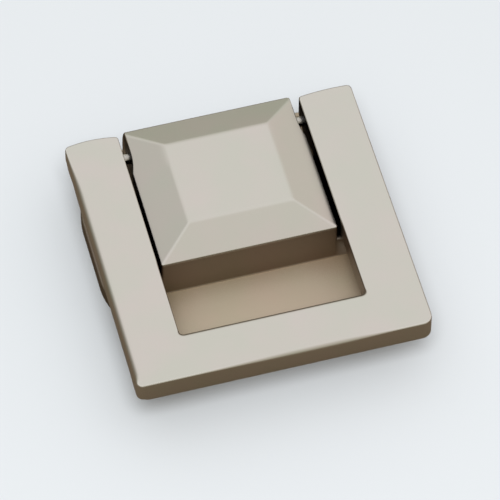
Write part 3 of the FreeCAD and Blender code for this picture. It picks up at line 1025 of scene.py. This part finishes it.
def add_world(scene, studio):
    """The studio round the handle: bright overhead and behind, dimmer low down, on the left and in front.

    Its colour is overhead over horizon by the smooth step of z, then the right side's colour by the
    smooth step of x, times the left side's by that of -x and times the camera side's by that of -y.
    """
    world = bpy.data.worlds.new("studio")
    scene.world = world
    world.use_nodes = True
    tree = world.node_tree
    tree.nodes.clear()
    place = add_node(tree, "TexCoord")
    axes = add_node(tree, "SeparateXYZ", links={"Vector": (place, "Generated")})
    below = {}
    for axis, low, high, how, tone in (("Z", 0.0, 0.85, BLEND, studio.overhead),
                                       ("X", 0.35, 0.95, BLEND, studio.right_side),
                                       ("X", -0.35, -0.95, TINT, studio.left_side),
                                       ("Y", -0.1, -0.7, TINT, studio.camera_side)):
        share = add_node(tree, "MapRange", settings={"interpolation_type": "SMOOTHSTEP"},
                         inputs={"From Min": low, "From Max": high}, links={"Value": (axes, axis)})
        sky = add_node(tree, "Mix", settings=how,
                       inputs={FIRST: (*studio.horizon, 1), SECOND: (*tone, 1)},
                       links={SHARE: (share, "Result"), **below})
        below = {FIRST: (sky, MIXED)}
    background = add_node(tree, "Background", links={"Color": (sky, MIXED)})
    add_node(tree, "OutputWorld", links={"Surface": (background, "Background")})


def add_key_lamp(scene, studio):
    """A round softbox above the camera, which lights the floor and stays out of the metal's reflections."""
    data = bpy.data.lights.new("key_lamp", "AREA")
    data.shape = "DISK"
    data.size = studio.key_size
    data.energy = studio.key_power
    lamp = bpy.data.objects.new("key_lamp", data)
    towards = Vector((-0.1, -0.42, 0.9)).normalized()
    turned_by = towards.to_track_quat("Z", "Y").to_matrix().to_4x4()
    lamp.matrix_world = Matrix.Translation(towards * studio.key_distance) @ turned_by
    lamp.visible_glossy = False
    scene.collection.objects.link(lamp)


def add_camera(scene, studio):
    """A long lens that looks down at the handle from its front left."""
    back = Vector((-math.sin(studio.azimuth) * math.cos(studio.elevation),
                   -math.cos(studio.azimuth) * math.cos(studio.elevation), math.sin(studio.elevation)))
    right = Vector((0, 0, 1)).cross(back).normalized()
    up = back.cross(right)
    # The middle of the picture: a place in the block, then a little across and down the view
    target = Vector((0, -8.3 * MM, 9.4 * MM)) + right * 0.978 * MM - up * 2.411 * MM
    data = bpy.data.cameras.new("camera")
    data.lens = 315.6
    data.sensor_width = 36.0
    data.clip_start = 0.01
    camera = bpy.data.objects.new("camera", data)
    turned_by = Matrix((right, up, back)).transposed().to_4x4()
    camera.matrix_world = Matrix.Translation(target + back * studio.distance) @ turned_by
    scene.collection.objects.link(camera)
    scene.camera = camera


class RINGPULL_PT_panel(bpy.types.Panel):
    """Lists the pieces and their sizes"""

    bl_label = "Ring Pull"
    bl_idname = "RINGPULL_PT_panel"
    bl_space_type = "VIEW_3D"
    bl_region_type = "UI"
    bl_category = "Ring Pull"

    def draw(self, context):
        for operator in OPERATORS:
            self.layout.operator(operator.bl_idname)
        for attribute, group in SETTINGS.items():
            box = self.layout.box()
            box.label(text=group.__doc__)
            for name in group.__annotations__:
                box.prop(getattr(context.scene, attribute), name)


SETTINGS = {
    "ring_pull_base": BaseSettings,
    "ring_pull_bail": BailSettings,
    "ring_pull_rod": RodSettings,
    "ring_pull_finish": FinishSettings,
    "ring_pull_studio": StudioSettings,
}
OPERATORS = (RINGPULL_OT_base, RINGPULL_OT_bail, RINGPULL_OT_rod, RINGPULL_OT_stage)
CLASSES = (*SETTINGS.values(), *OPERATORS, RINGPULL_PT_panel)


def register():
    """Registers the classes and hangs the settings on the scene."""
    for made in CLASSES:
        bpy.utils.register_class(made)
    for attribute, group in SETTINGS.items():
        setattr(bpy.types.Scene, attribute, bpy.props.PointerProperty(type=group))


def unregister():
    """Takes away what register added."""
    for attribute in SETTINGS:
        delattr(bpy.types.Scene, attribute)
    for made in reversed(CLASSES):
        bpy.utils.unregister_class(made)


def main():
    """Builds the whole scene."""
    register()
    bpy.ops.ring_pull.add_base()
    bpy.ops.ring_pull.add_bail()
    bpy.ops.ring_pull.add_hinge_rod()
    bpy.ops.ring_pull.add_stage()


if __name__ == "__main__":
    main()
